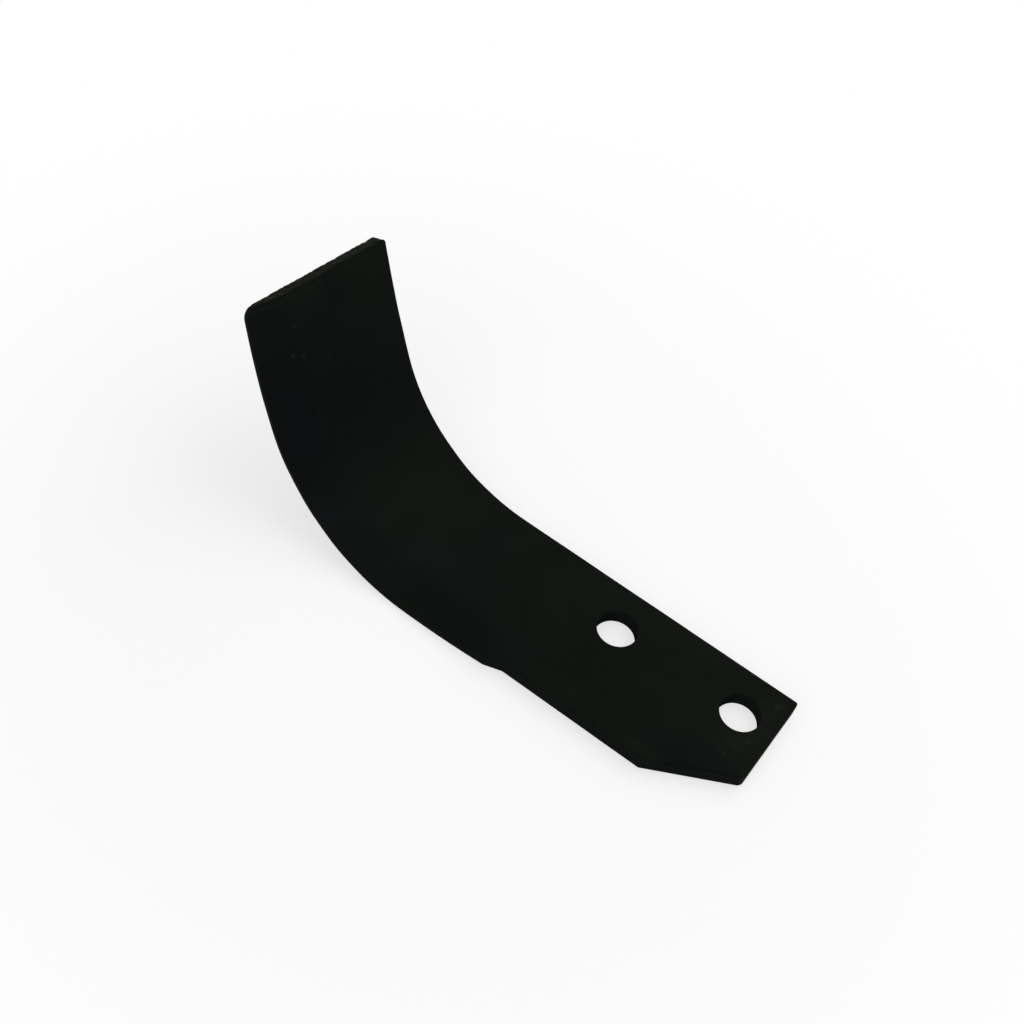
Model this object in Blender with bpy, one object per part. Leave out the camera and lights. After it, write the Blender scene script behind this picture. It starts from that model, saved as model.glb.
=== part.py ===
"""Rotary tiller blade: a flat shank with two bolt holes, a drawn-out cutting edge and a curled wing.

The blade is one forging. Its blank is drawn flat, with a straight shank and two long arcs. The
cutting edge is drawn out past the side of the shank and thinned to a wedge. Then the blank is
rolled up over a cylinder that lies a little askew to the shank, which makes the wing.

Frame: the shank lies flat with its seat on Z = 0. The origin is on the seat, halfway between the
bolt holes. +X runs to the free end of the shank, +Y to the back edge, and the wing curls up to +Z.
In the flat blank, the wing lies towards -X.
"""

import math

import bmesh
import bpy
from mathutils import Matrix, Vector

MM = 0.001

# Bar that the blade is forged from
THICKNESS = 7.0 * MM
SHANK_WIDTH = 61.0 * MM
EDGE_ROUND = 0.6 * MM

# Bolt holes
HOLE_DIAMETER = 16.5 * MM
HOLE_SPACING = 57.0 * MM
HOLE_TO_END = 15.5 * MM
HOLE_TO_BACK = 19.0 * MM

# Free end of the shank, with its clipped corner
CLIP_LENGTH = 34.0 * MM
CLIP_DEPTH = 19.0 * MM
BACK_CORNER_RADIUS = 1.2 * MM
CLIP_END_RADIUS = 3.0 * MM
CLIP_SIDE_RADIUS = 1.2 * MM

# Back edge: straight along the shank, then one hollow arc to the tip
BACK_ARC_START = 80.0 * MM
BACK_ARC_RADIUS = 530.0 * MM

# Cutting edge: one full arc that stands out past the side of the shank and starts with a step
CUT_ARC_CREST = 93.0 * MM
CUT_ARC_RADIUS = 488.0 * MM
CUT_OVERHANG = 3.6 * MM
STEP_START = 53.0 * MM
STEP_LENGTH = 7.5 * MM

# Wedge that thins the cutting edge, and the facet that runs it out towards the step
WEDGE_WIDTH = 15.0 * MM
EDGE_THICKNESS = 2.2 * MM
FACET_INNER_LENGTH = 31.5 * MM
FACET_EDGE_LENGTH = 44.0 * MM

# Tip: a straight cut across the wing, square to the shank but for its skew
FLAT_LENGTH = 273.5 * MM
TIP_SKEW = math.radians(8.0)
TIP_FRONT_RADIUS = 5.5 * MM
TIP_BACK_RADIUS = 1.5 * MM

# Curl: the bend's radius on its hollow face, its angle, and where and how it lies on the blank
BEND_RADIUS = 77.0 * MM
BEND_ANGLE = math.radians(62.0)
BEND_START = 90.0 * MM
BEND_SKEW = math.radians(10.5)

# How finely round shapes are cut into facets
HOLE_FACETS = 48
CUT_ARC_STEPS = 18
BACK_ARC_STEPS = 16
CORNER_STEPS = 6
ROUND_SEGMENTS = 2
BEND_STEPS = 24
SMOOTH_LIMIT = math.radians(16.0)

# How far a cutter reaches past the surface that it cuts
CUTTER_MARGIN = 3.0 * MM

# Places on the flat blank that follow from the sizes above
END_X = HOLE_SPACING / 2 + HOLE_TO_END
BACK_Y = HOLE_TO_BACK
SIDE_Y = HOLE_TO_BACK - SHANK_WIDTH
TIP_X = END_X - FLAT_LENGTH
BACK_CENTRE = Vector((-BACK_ARC_START, BACK_Y + BACK_ARC_RADIUS))
CUT_CENTRE = Vector((-CUT_ARC_CREST, SIDE_Y - CUT_OVERHANG + CUT_ARC_RADIUS))
TIP_POINT = Vector((TIP_X, 0.0))
TIP_DIRECTION = Vector((math.sin(TIP_SKEW), math.cos(TIP_SKEW)))
TIP_INWARD = Vector((math.cos(TIP_SKEW), -math.sin(TIP_SKEW)))


def remove_objects():
    """Empty the scene."""
    for item in list(bpy.data.objects):
        bpy.data.objects.remove(item, do_unlink=True)


def line_meets_circle(point, direction, centre, radius, side):
    """Where a line crosses a circle: side is +1 for the far crossing along direction, -1 for the near."""
    offset = point - centre
    along = offset.dot(direction)
    reach = math.sqrt(along * along - offset.length_squared + radius * radius)
    return point + direction * (side * reach - along)


def arc(centre, start, end, steps):
    """Points on a circle from start to end, both included, the short way round."""
    first = start - centre
    turn = first.angle_signed(end - centre)
    return [centre + Matrix.Rotation(-turn * i / steps, 2) @ first for i in range(steps + 1)]


def round_corner(before, corner, after, radius):
    """Points of the fillet that replaces the corner between two straight sides."""
    to_before = (before - corner).normalized()
    to_after = (after - corner).normalized()
    half = to_before.angle(to_after) / 2
    centre = corner + (to_before + to_after).normalized() * (radius / math.sin(half))
    reach = radius / math.tan(half)
    return arc(centre, corner + to_before * reach, corner + to_after * reach, CORNER_STEPS)


def round_tip(arc_centre, arc_radius, fillet_radius, side):
    """Fillet between the tip's straight cut and a long arc, ordered from the cut to the arc.

    The fillet's centre lies fillet_radius inside both: side is +1 where the metal is outside
    the long arc's circle (back edge), -1 where it is inside (cutting edge).
    """
    line = TIP_POINT + TIP_INWARD * fillet_radius
    circle = arc_radius + side * fillet_radius
    centre = line_meets_circle(line, TIP_DIRECTION * side, arc_centre, circle, -side)
    on_cut = centre - TIP_INWARD * fillet_radius
    on_arc = arc_centre + (centre - arc_centre).normalized() * arc_radius
    return arc(centre, on_cut, on_arc, CORNER_STEPS)


def cut_arc_point(x, inset=0.0):
    """Point of the cutting edge's arc, or of the same arc inset into the metal, at a given x."""
    radius = CUT_ARC_RADIUS - inset
    rise = x - CUT_CENTRE.x
    return Vector((x, CUT_CENTRE.y - math.sqrt(radius * radius - rise * rise)))


def blank_outline():
    """Outline of the flat blank, counter-clockwise seen from above."""
    end_back = Vector((END_X, BACK_Y))
    end_clip = Vector((END_X, SIDE_Y + CLIP_DEPTH))
    side_clip = Vector((END_X - CLIP_LENGTH, SIDE_Y))
    step_start = Vector((-STEP_START, SIDE_Y))
    step_end = cut_arc_point(-STEP_START - STEP_LENGTH)
    back_start = Vector((-BACK_ARC_START, BACK_Y))
    tip_back = round_tip(BACK_CENTRE, BACK_ARC_RADIUS, TIP_BACK_RADIUS, 1)
    tip_front = round_tip(CUT_CENTRE, CUT_ARC_RADIUS, TIP_FRONT_RADIUS, -1)

    points = round_corner(end_clip, end_back, back_start, BACK_CORNER_RADIUS)
    points += arc(BACK_CENTRE, back_start, tip_back[-1], BACK_ARC_STEPS)
    points += reversed(tip_back[:-1])
    points += tip_front
    points += arc(CUT_CENTRE, tip_front[-1], step_end, CUT_ARC_STEPS)[1:]
    points.append(step_start)
    points += round_corner(step_start, side_clip, end_clip, CLIP_SIDE_RADIUS)
    points += round_corner(side_clip, end_clip, end_back, CLIP_END_RADIUS)
    return points


def flat_blank():
    """Flat blank of full thickness, with its long edges rounded like rolled bar."""
    mesh = bmesh.new()
    outline = [mesh.verts.new((point.x, point.y, 0.0)) for point in blank_outline()]
    floor = mesh.faces.new(outline)
    top = bmesh.ops.extrude_face_region(mesh, geom=[floor])
    raised = [item for item in top["geom"] if isinstance(item, bmesh.types.BMVert)]
    bmesh.ops.translate(mesh, verts=raised, vec=(0.0, 0.0, THICKNESS))
    bmesh.ops.recalc_face_normals(mesh, faces=mesh.faces)
    rims = [edge for edge in mesh.edges if edge.verts[0].co.z == edge.verts[1].co.z]
    bmesh.ops.bevel(mesh, geom=rims, offset=EDGE_ROUND, offset_type="OFFSET", segments=ROUND_SEGMENTS,
                    profile=0.5, affect="EDGES", material=-1)
    return mesh


def add_cutter(name, mesh):
    """Object that only cuts: it is drawn as wire and isn't part of the blade."""
    data = bpy.data.meshes.new(name)
    bmesh.ops.recalc_face_normals(mesh, faces=mesh.faces)
    mesh.to_mesh(data)
    mesh.free()
    cutter = bpy.data.objects.new(name, data)
    cutter.hide_render = True
    cutter.display_type = "WIRE"
    bpy.context.collection.objects.link(cutter)
    return cutter


def bolt_hole_cutter(name, x):
    """Round punch for one bolt hole."""
    mesh = bmesh.new()
    bmesh.ops.create_cone(mesh, cap_ends=True, segments=HOLE_FACETS, radius1=HOLE_DIAMETER / 2,
                          radius2=HOLE_DIAMETER / 2, depth=THICKNESS + 2 * CUTTER_MARGIN)
    bmesh.ops.translate(mesh, verts=mesh.verts, vec=(x, 0.0, THICKNESS / 2))
    return add_cutter(name, mesh)


def wedge_cutter():
    """Spun body that thins the cutting edge to a wedge, ended by the slanting run-out facet."""
    slope = (THICKNESS - EDGE_THICKNESS) / WEDGE_WIDTH
    outer = CUT_ARC_RADIUS + CUTTER_MARGIN
    inner = CUT_ARC_RADIUS - WEDGE_WIDTH - CUTTER_MARGIN
    profile = [
        (outer, EDGE_THICKNESS - CUTTER_MARGIN * slope),
        (outer, THICKNESS + CUTTER_MARGIN),
        (inner, THICKNESS + CUTTER_MARGIN),
        (inner, THICKNESS + CUTTER_MARGIN * slope),
    ]
    start = cut_arc_point(-STEP_START - STEP_LENGTH) - CUT_CENTRE
    end = round_tip(CUT_CENTRE, CUT_ARC_RADIUS, TIP_FRONT_RADIUS, -1)[-1] - CUT_CENTRE
    turn = start.angle_signed(end)
    step = turn / CUT_ARC_STEPS
    spare = math.ceil(2 * (STEP_LENGTH + CUTTER_MARGIN) / abs(step * CUT_ARC_RADIUS)) + 1
    first = Matrix.Rotation(step * spare, 2) @ start.normalized()

    mesh = bmesh.new()
    ring = [mesh.verts.new((CUT_CENTRE.x + first.x * r, CUT_CENTRE.y + first.y * r, z)) for r, z in profile]
    edges = [mesh.edges.new((ring[i - 1], ring[i])) for i in range(len(ring))]
    bmesh.ops.spin(mesh, geom=ring + edges, cent=(CUT_CENTRE.x, CUT_CENTRE.y, 0.0), axis=(0.0, 0.0, 1.0),
                   angle=-step * (CUT_ARC_STEPS + 2 * spare), steps=CUT_ARC_STEPS + 2 * spare, use_merge=False)
    bmesh.ops.holes_fill(mesh, edges=[edge for edge in mesh.edges if edge.is_boundary], sides=0)

    facet_top = cut_arc_point(-STEP_START - FACET_INNER_LENGTH, WEDGE_WIDTH)
    facet_edge = cut_arc_point(-STEP_START - FACET_EDGE_LENGTH)
    corner = Vector((-STEP_START, SIDE_Y, THICKNESS))
    along = Vector((facet_top.x, facet_top.y, THICKNESS)) - corner
    down = Vector((facet_edge.x, facet_edge.y, EDGE_THICKNESS)) - corner
    cut = bmesh.ops.bisect_plane(mesh, geom=mesh.verts[:] + mesh.edges[:] + mesh.faces[:], dist=1e-7,
                                 plane_co=corner, plane_no=along.cross(down), clear_inner=True)
    rim = [item for item in cut["geom_cut"] if isinstance(item, bmesh.types.BMEdge)]
    bmesh.ops.holes_fill(mesh, edges=rim, sides=0)
    return add_cutter("wedge_cutter", mesh)


def cut_away(blank, cutters):
    """Mesh of the blank with every cutter taken out of it."""
    for cutter in cutters:
        modifier = blank.modifiers.new(cutter.name, "BOOLEAN")
        modifier.operation = "DIFFERENCE"
        modifier.object = cutter
    graph = bpy.context.evaluated_depsgraph_get()
    mesh = bmesh.new()
    mesh.from_mesh(bpy.data.meshes.new_from_object(blank.evaluated_get(graph)))
    blank.modifiers.clear()
    return mesh


def roll_up(point):
    """Place of a point of the flat blank once the blank is rolled up over the bend's cylinder."""
    across = Vector((-math.cos(BEND_SKEW), math.sin(BEND_SKEW), 0.0))
    middle = BEND_RADIUS + THICKNESS / 2
    past = point.dot(across) - BEND_START
    if past <= 0.0:
        return point.copy()
    angle = min(past / middle, BEND_ANGLE)
    straight = max(past - middle * BEND_ANGLE, 0.0)
    radius = BEND_RADIUS + THICKNESS - point.z
    forward = radius * math.sin(angle) + straight * math.cos(angle)
    height = BEND_RADIUS + THICKNESS - radius * math.cos(angle) + straight * math.sin(angle)
    rolled = point + across * (forward - past)
    rolled.z = height
    return rolled


def curl(mesh):
    """Roll the wing up, after cutting the blank into narrow strips that follow the bend."""
    across = Vector((-math.cos(BEND_SKEW), math.sin(BEND_SKEW), 0.0))
    length = (BEND_RADIUS + THICKNESS / 2) * BEND_ANGLE
    for i in range(BEND_STEPS + 1):
        place = across * (BEND_START + length * i / BEND_STEPS)
        bmesh.ops.bisect_plane(mesh, geom=mesh.verts[:] + mesh.edges[:] + mesh.faces[:], dist=1e-7,
                               plane_co=place, plane_no=across)
    bmesh.ops.triangulate(mesh, faces=mesh.faces[:])
    for vert in mesh.verts:
        vert.co = roll_up(vert.co)


def black_paint():
    """Thin satin black paint on the forging."""
    material = bpy.data.materials.new("black_paint")
    material.use_nodes = True
    shader = material.node_tree.nodes["Principled BSDF"]
    shader.inputs["Base Color"].default_value = (0.0075, 0.0085, 0.0078, 1.0)
    shader.inputs["Roughness"].default_value = 0.55
    shader.inputs["Metallic"].default_value = 0.0
    return material


def main():
    """Forge the blade: blank, holes and wedge, then the curl."""
    remove_objects()
    data = bpy.data.meshes.new("tiller_blade")
    blade = bpy.data.objects.new("tiller_blade", data)
    bpy.context.collection.objects.link(blade)
    blank = flat_blank()
    blank.to_mesh(data)
    blank.free()

    cutters = [
        bolt_hole_cutter("end_hole_cutter", HOLE_SPACING / 2),
        bolt_hole_cutter("wing_hole_cutter", -HOLE_SPACING / 2),
        wedge_cutter(),
    ]
    forged = cut_away(blade, cutters)
    curl(forged)
    forged.to_mesh(data)
    forged.free()
    data.materials.append(black_paint())
    data.shade_smooth()
    data.set_sharp_from_angle(angle=SMOOTH_LIMIT)


main()
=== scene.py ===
"""Rotary tiller blade, forged in fine cells and painted black, on a pale studio floor.

The blade is drawn flat with a pen, thickened, punched, cut into small cells, drawn out along its
cutting edge and then curled, in the order in which a smith would work it. The cells let the forging
show what a drop hammer and a shear leave behind: soft creases, wandering edges and a torn end.

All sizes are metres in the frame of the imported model: the seat of the shank is Z = 0, the origin
lies halfway between the bolt holes, +X runs to the free end and +Y to the back edge.
"""

import logging
import math
from dataclasses import dataclass, field
from enum import Enum

import bmesh
import bpy
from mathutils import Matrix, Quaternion, Vector, noise
from mathutils.kdtree import KDTree


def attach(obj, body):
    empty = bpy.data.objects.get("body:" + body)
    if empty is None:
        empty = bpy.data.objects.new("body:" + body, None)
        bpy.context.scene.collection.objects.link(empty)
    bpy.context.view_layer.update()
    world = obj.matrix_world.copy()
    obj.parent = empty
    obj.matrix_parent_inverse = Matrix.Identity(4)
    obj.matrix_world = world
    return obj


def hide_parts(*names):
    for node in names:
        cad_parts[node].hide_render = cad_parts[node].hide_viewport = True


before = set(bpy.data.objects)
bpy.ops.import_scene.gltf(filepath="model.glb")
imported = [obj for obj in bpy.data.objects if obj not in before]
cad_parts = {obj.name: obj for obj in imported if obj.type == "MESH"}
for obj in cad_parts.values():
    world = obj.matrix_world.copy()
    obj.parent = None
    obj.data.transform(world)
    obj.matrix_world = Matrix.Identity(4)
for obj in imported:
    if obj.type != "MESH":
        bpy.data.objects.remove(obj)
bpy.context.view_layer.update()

Colour = tuple[float, float, float]
Mesh = bmesh.types.BMesh
Socket = bpy.types.NodeSocket

MM = 0.001
UP = Vector((0.0, 0.0, 1.0))
LOG = logging.getLogger("tiller_blade")


class MetalSide(Enum):
    """Where the metal lies seen from the circle that an edge of the blank follows."""

    INSIDE = -1
    OUTSIDE = 1


class Surface(Enum):
    """Kinds of surface on the forging, numbered as its material slots."""

    SKIN = 0
    SHEARED = 1


def add_object(name: str, mesh: Mesh) -> bpy.types.Object:
    """Put a mesh in the scene.

    Args:
        name: Name of the object.
        mesh: The mesh, which is freed.

    Returns:
        The new object, at the origin.
    """
    data = bpy.data.meshes.new(name)
    mesh.to_mesh(data)
    mesh.free()
    item = bpy.data.objects.new(name, data)
    bpy.context.scene.collection.objects.link(item)
    return item


def smooth_least(first: float, second: float, width: float) -> float:
    """Lesser of two numbers, with the crease between them rounded.

    Args:
        first: One number.
        second: The other number.
        width: Difference below which the two blend.

    Returns:
        The blended lesser number.
    """
    share = min(max(0.5 + 0.5 * (second - first) / width, 0.0), 1.0)
    return second + (first - second) * share - width * share * (1.0 - share)


def ease(value: float, low: float, high: float) -> float:
    """Smooth ramp.

    Args:
        value: Where the ramp is read.
        low: Value at and below which the ramp is 0.
        high: Value at and above which the ramp is 1.

    Returns:
        A number from 0 to 1.
    """
    share = min(max((value - low) / (high - low), 0.0), 1.0)
    return share * share * (3.0 - 2.0 * share)


@dataclass(frozen=True)
class Arc:
    """Arc of a circle in the plane of the blank."""

    centre: Vector
    start: Vector
    end: Vector

    @property
    def turn(self) -> float:
        """Signed angle from start to end, the short way round, counter-clockwise positive."""
        first = (self.start - self.centre).to_2d()
        last = (self.end - self.centre).to_2d()
        return -first.angle_signed(last)


class OutlinePen:
    """Draws a closed outline in the plane Z = 0 by extruding and spinning one vertex."""

    def __init__(self, start: Vector) -> None:
        """Put the pen down.

        Args:
            start: First point of the outline.
        """
        self.mesh = bmesh.new()
        self.tip = self.mesh.verts.new(start)

    def line_to(self, point: Vector) -> None:
        """Draw a straight run.

        Args:
            point: Where the run ends.
        """
        grown = bmesh.ops.extrude_vert_indiv(self.mesh, verts=[self.tip])
        self.tip = grown["verts"][0]
        self.tip.co = point

    def follow(self, arc: Arc, steps: int) -> None:
        """Draw a straight run to an arc's start, and then the arc.

        Args:
            arc: The arc to draw.
            steps: Number of facets along it.
        """
        if (self.tip.co - arc.start).length > MM / 1000:
            self.line_to(arc.start)
        spun = bmesh.ops.spin(self.mesh, geom=[self.tip], cent=arc.centre, axis=UP,
                              angle=arc.turn, steps=steps)
        self.tip = next(item for item in spun["geom_last"] if isinstance(item, bmesh.types.BMVert))

    def close(self) -> Mesh:
        """Close the outline and fill it.

        Returns:
            A mesh that holds one flat face.
        """
        self.mesh.verts.ensure_lookup_table()
        bmesh.ops.contextual_create(self.mesh, geom=[self.tip, self.mesh.verts[0]])
        bmesh.ops.contextual_create(self.mesh, geom=self.mesh.edges[:])
        return self.mesh


@dataclass
class FlatBlank:
    """Blank of full thickness before it is drawn out and curled: straight shank, two long arcs, two holes."""

    thickness: float = 7.0 * MM
    shank_width: float = 61.0 * MM
    edge_round: float = 0.6 * MM

    hole_diameter: float = 16.5 * MM
    hole_spacing: float = 57.0 * MM
    hole_round: float = 0.2 * MM
    hole_to_end: float = 15.5 * MM
    hole_to_back: float = 19.0 * MM

    clip_length: float = 34.0 * MM
    clip_depth: float = 19.0 * MM
    back_corner_radius: float = 1.2 * MM
    clip_end_radius: float = 3.0 * MM
    clip_side_radius: float = 1.2 * MM

    back_arc_start: float = 80.0 * MM
    back_arc_radius: float = 530.0 * MM
    cut_arc_crest: float = 93.0 * MM
    cut_arc_radius: float = 488.0 * MM
    cut_overhang: float = 3.6 * MM
    step_start: float = 53.0 * MM
    step_length: float = 7.5 * MM
    step_round: float = 2.0 * MM

    flat_length: float = 273.5 * MM
    tip_skew: float = math.radians(8.0)
    tip_front_radius: float = 5.5 * MM
    tip_back_radius: float = 1.5 * MM
    sheared_depth: float = 0.48 * MM
    sheared_tilt: float = 0.9

    hole_facets: int = 112
    long_arc_steps: int = 90
    corner_steps: int = 10
    round_segments: int = 4

    end_x: float = field(init=False)
    back_y: float = field(init=False)
    side_y: float = field(init=False)
    back_centre: Vector = field(init=False)
    cut_centre: Vector = field(init=False)
    tip_point: Vector = field(init=False)
    tip_along: Vector = field(init=False)
    tip_inward: Vector = field(init=False)

    def __post_init__(self) -> None:
        """Work out the places that follow from the sizes."""
        self.end_x = self.hole_spacing / 2 + self.hole_to_end
        self.back_y = self.hole_to_back
        self.side_y = self.hole_to_back - self.shank_width
        self.back_centre = Vector((-self.back_arc_start, self.back_y + self.back_arc_radius, 0.0))
        cut_centre_y = self.side_y - self.cut_overhang + self.cut_arc_radius
        self.cut_centre = Vector((-self.cut_arc_crest, cut_centre_y, 0.0))
        self.tip_point = Vector((self.end_x - self.flat_length, 0.0, 0.0))
        self.tip_along = Vector((math.sin(self.tip_skew), math.cos(self.tip_skew), 0.0))
        self.tip_inward = Vector((math.cos(self.tip_skew), -math.sin(self.tip_skew), 0.0))

    def build(self) -> Mesh:
        """Make the blank.

        Returns:
            Its closed mesh, with the seat on Z = 0.
        """
        mesh = self.draw_outline()
        self.thicken(mesh)
        return self.punch_holes(mesh)

    def corner_arc(self, before: Vector, corner: Vector, after: Vector, radius: float) -> Arc:
        """Fillet between two straight sides.

        Args:
            before: A point on the side that comes first.
            corner: Where the two sides meet.
            after: A point on the side that comes next.
            radius: Radius of the fillet.

        Returns:
            The fillet's arc.
        """
        to_before = (before - corner).normalized()
        to_after = (after - corner).normalized()
        half = to_before.angle(to_after) / 2
        centre = corner + (to_before + to_after).normalized() * (radius / math.sin(half))
        reach = radius / math.tan(half)
        return Arc(centre, corner + to_before * reach, corner + to_after * reach)

    def tip_arc(self, centre: Vector, radius: float, fillet: float, side: MetalSide) -> Arc:
        """Fillet between the tip's straight cut and one of the two long arcs.

        Args:
            centre: Centre of the long arc.
            radius: Radius of the long arc.
            fillet: Radius of the fillet.
            side: Where the metal lies seen from the long arc's circle.

        Returns:
            The fillet's arc, from the cut to the long arc.
        """
        start = self.tip_point + self.tip_inward * fillet
        ring = radius + side.value * fillet
        offset = start - centre
        along = offset.dot(self.tip_along)
        reach = math.sqrt(along * along - offset.length_squared + ring * ring)
        middle = start + self.tip_along * (-reach - along)
        on_cut = middle - self.tip_inward * fillet
        on_arc = centre + (middle - centre).normalized() * radius
        return Arc(middle, on_cut, on_arc)

    def cut_arc_point(self, x: float, inset: float = 0.0) -> Vector:
        """Point of the cutting edge's arc.

        Args:
            x: Where along the blank.
            inset: How far inside the metal, square to the edge.

        Returns:
            The point, on the seat.
        """
        radius = self.cut_arc_radius - inset
        rise = x - self.cut_centre.x
        return Vector((x, self.cut_centre.y - math.sqrt(radius * radius - rise * rise), 0.0))

    def draw_outline(self) -> Mesh:
        """Draw the outline, counter-clockwise from above.

        Returns:
            A mesh with the outline as one flat face on the seat.
        """
        end_back = Vector((self.end_x, self.back_y, 0.0))
        end_clip = Vector((self.end_x, self.side_y + self.clip_depth, 0.0))
        side_clip = Vector((self.end_x - self.clip_length, self.side_y, 0.0))
        step_start = Vector((-self.step_start, self.side_y, 0.0))
        step_end = self.cut_arc_point(-self.step_start - self.step_length)
        back_start = Vector((-self.back_arc_start, self.back_y, 0.0))
        tip_back = self.tip_arc(self.back_centre, self.back_arc_radius, self.tip_back_radius,
                                MetalSide.OUTSIDE)
        tip_front = self.tip_arc(self.cut_centre, self.cut_arc_radius, self.tip_front_radius,
                                 MetalSide.INSIDE)

        end_corner = self.corner_arc(end_clip, end_back, back_start, self.back_corner_radius)
        pen = OutlinePen(end_corner.start)
        pen.follow(end_corner, self.corner_steps)
        pen.follow(Arc(self.back_centre, back_start, tip_back.end), self.long_arc_steps)
        pen.follow(Arc(tip_back.centre, tip_back.end, tip_back.start), self.corner_steps)
        pen.follow(tip_front, self.corner_steps)
        pen.follow(Arc(self.cut_centre, tip_front.end, step_end), self.long_arc_steps)
        corners = ((step_end, step_start, side_clip, self.step_round),
                   (step_start, side_clip, end_clip, self.clip_side_radius),
                   (side_clip, end_clip, end_back, self.clip_end_radius))
        for corner in corners:
            pen.follow(self.corner_arc(*corner), self.corner_steps)
        return pen.close()

    def thicken(self, mesh: Mesh) -> None:
        """Give the flat face the bar's thickness and round its rims.

        Args:
            mesh: The flat face, changed in place.
        """
        grown = bmesh.ops.extrude_face_region(mesh, geom=mesh.faces[:])
        raised = [item for item in grown["geom"] if isinstance(item, bmesh.types.BMVert)]
        bmesh.ops.translate(mesh, verts=raised, vec=UP * self.thickness)
        bmesh.ops.recalc_face_normals(mesh, faces=mesh.faces[:])
        rims = [edge for edge in mesh.edges if edge.verts[0].co.z == edge.verts[1].co.z]
        bmesh.ops.bevel(mesh, geom=rims, offset=self.edge_round, offset_type="OFFSET",
                        segments=self.round_segments, profile=0.5, affect="EDGES", material=-1)

    def hole_punch(self, x: float) -> Mesh:
        """Turned punch that leaves a bolt hole with softly drawn-in rims.

        Args:
            x: Where the hole's centre lies along the shank.

        Returns:
            The punch as a closed mesh.
        """
        mesh = bmesh.new()
        radius = self.hole_diameter / 2
        lip = self.hole_round
        profile = [(0.0, -self.thickness), (radius + lip, -self.thickness), (radius + lip, 0.0)]
        for centre_z, first in ((lip, 0.0), (self.thickness - lip, math.pi / 2)):
            for i in range(self.round_segments + 1):
                angle = first + math.pi / 2 * i / self.round_segments
                profile.append((radius + lip - lip * math.sin(angle), centre_z - lip * math.cos(angle)))
        profile += [(radius + lip, 2 * self.thickness), (0.0, 2 * self.thickness)]
        ring = [mesh.verts.new((x + out, 0.0, z)) for out, z in profile]
        edges = [mesh.edges.new(pair) for pair in zip(ring, ring[1:])]
        bmesh.ops.spin(mesh, geom=ring + edges, cent=(x, 0.0, 0.0), axis=UP, angle=math.tau,
                       steps=self.hole_facets, use_merge=True)
        bmesh.ops.remove_doubles(mesh, verts=mesh.verts[:], dist=1e-6)
        bmesh.ops.recalc_face_normals(mesh, faces=mesh.faces[:])
        return mesh

    def punch_holes(self, mesh: Mesh) -> Mesh:
        """Punch both bolt holes.

        Args:
            mesh: The thick blank, which is used up.

        Returns:
            The blank with its holes.
        """
        blank = add_object("blank", mesh)
        punches = [add_object("punch", self.hole_punch(x)) for x in self.hole_places]
        for punch in punches:
            cut = blank.modifiers.new("punch", "BOOLEAN")
            cut.operation = "DIFFERENCE"
            cut.object = punch
        graph = bpy.context.evaluated_depsgraph_get()
        punched = bmesh.new()
        punched.from_mesh(bpy.data.meshes.new_from_object(blank.evaluated_get(graph)))
        for item in [blank, *punches]:
            bpy.data.objects.remove(item, do_unlink=True)
        return punched

    @property
    def hole_places(self) -> tuple[float, float]:
        """Where the centres of the holes lie along the shank."""
        return self.hole_spacing / 2, -self.hole_spacing / 2

    def tip_depth(self, point: Vector) -> float:
        """How far a place lies inside the tip's end face.

        Args:
            point: A place on the blank.

        Returns:
            The distance from the end face.
        """
        return (point - self.tip_point).dot(self.tip_inward)

    def in_hole(self, point: Vector) -> bool:
        """Whether a place lies on the wall of a bolt hole.

        Args:
            point: A place on the blank.

        Returns:
            True on the wall and its rims.
        """
        reach = self.hole_diameter / 2 + self.hole_round
        return any(math.hypot(point.x - x, point.y) <= reach for x in self.hole_places)

    def is_sheared(self, face: bmesh.types.BMFace) -> bool:
        """Whether the shear left a face of the blank bare and torn.

        Args:
            face: A face of the blank.

        Returns:
            True on the tip's end face.
        """
        upright = abs(face.normal.z) < self.sheared_tilt
        return upright and self.tip_depth(face.calc_center_median()) < self.sheared_depth


@dataclass
class DrawnEdge:
    """Wedge hammered along the cutting edge, and the slanting facet that runs it out at the step."""

    blank: FlatBlank
    wedge_width: float = 15.0 * MM
    edge_thickness: float = 2.2 * MM
    facet_inner_length: float = 31.5 * MM
    facet_edge_length: float = 44.0 * MM
    crease_blend: float = 1.0 * MM

    corner: Vector = field(init=False)
    normal: Vector = field(init=False)

    def __post_init__(self) -> None:
        """Work out the facet's plane."""
        start = -self.blank.step_start
        top = self.blank.cut_arc_point(start - self.facet_inner_length, self.wedge_width)
        edge = self.blank.cut_arc_point(start - self.facet_edge_length)
        self.corner = Vector((start, self.blank.side_y, self.blank.thickness))
        along = top + UP * self.blank.thickness - self.corner
        down = edge + UP * self.edge_thickness - self.corner
        self.normal = along.cross(down)

    def thickness_at(self, point: Vector) -> float:
        """Thickness of the forging over a place on the flat blank.

        Args:
            point: The place; its height isn't read.

        Returns:
            The bar's thickness, or less on the wedge and its facet.
        """
        slope = (self.blank.thickness - self.edge_thickness) / self.wedge_width
        depth = self.blank.cut_arc_radius - (point - self.blank.cut_centre).to_2d().length
        wedge = self.edge_thickness + slope * depth
        lower = -smooth_least(-wedge, -self.facet_height(point), self.crease_blend)
        return smooth_least(self.blank.thickness, lower, self.crease_blend)

    def facet_height(self, point: Vector) -> float:
        """Height of the facet's plane.

        Args:
            point: A place on the flat blank.

        Returns:
            The plane's height there.
        """
        offset = point - self.corner
        return self.corner.z - (self.normal.x * offset.x + self.normal.y * offset.y) / self.normal.z


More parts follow.
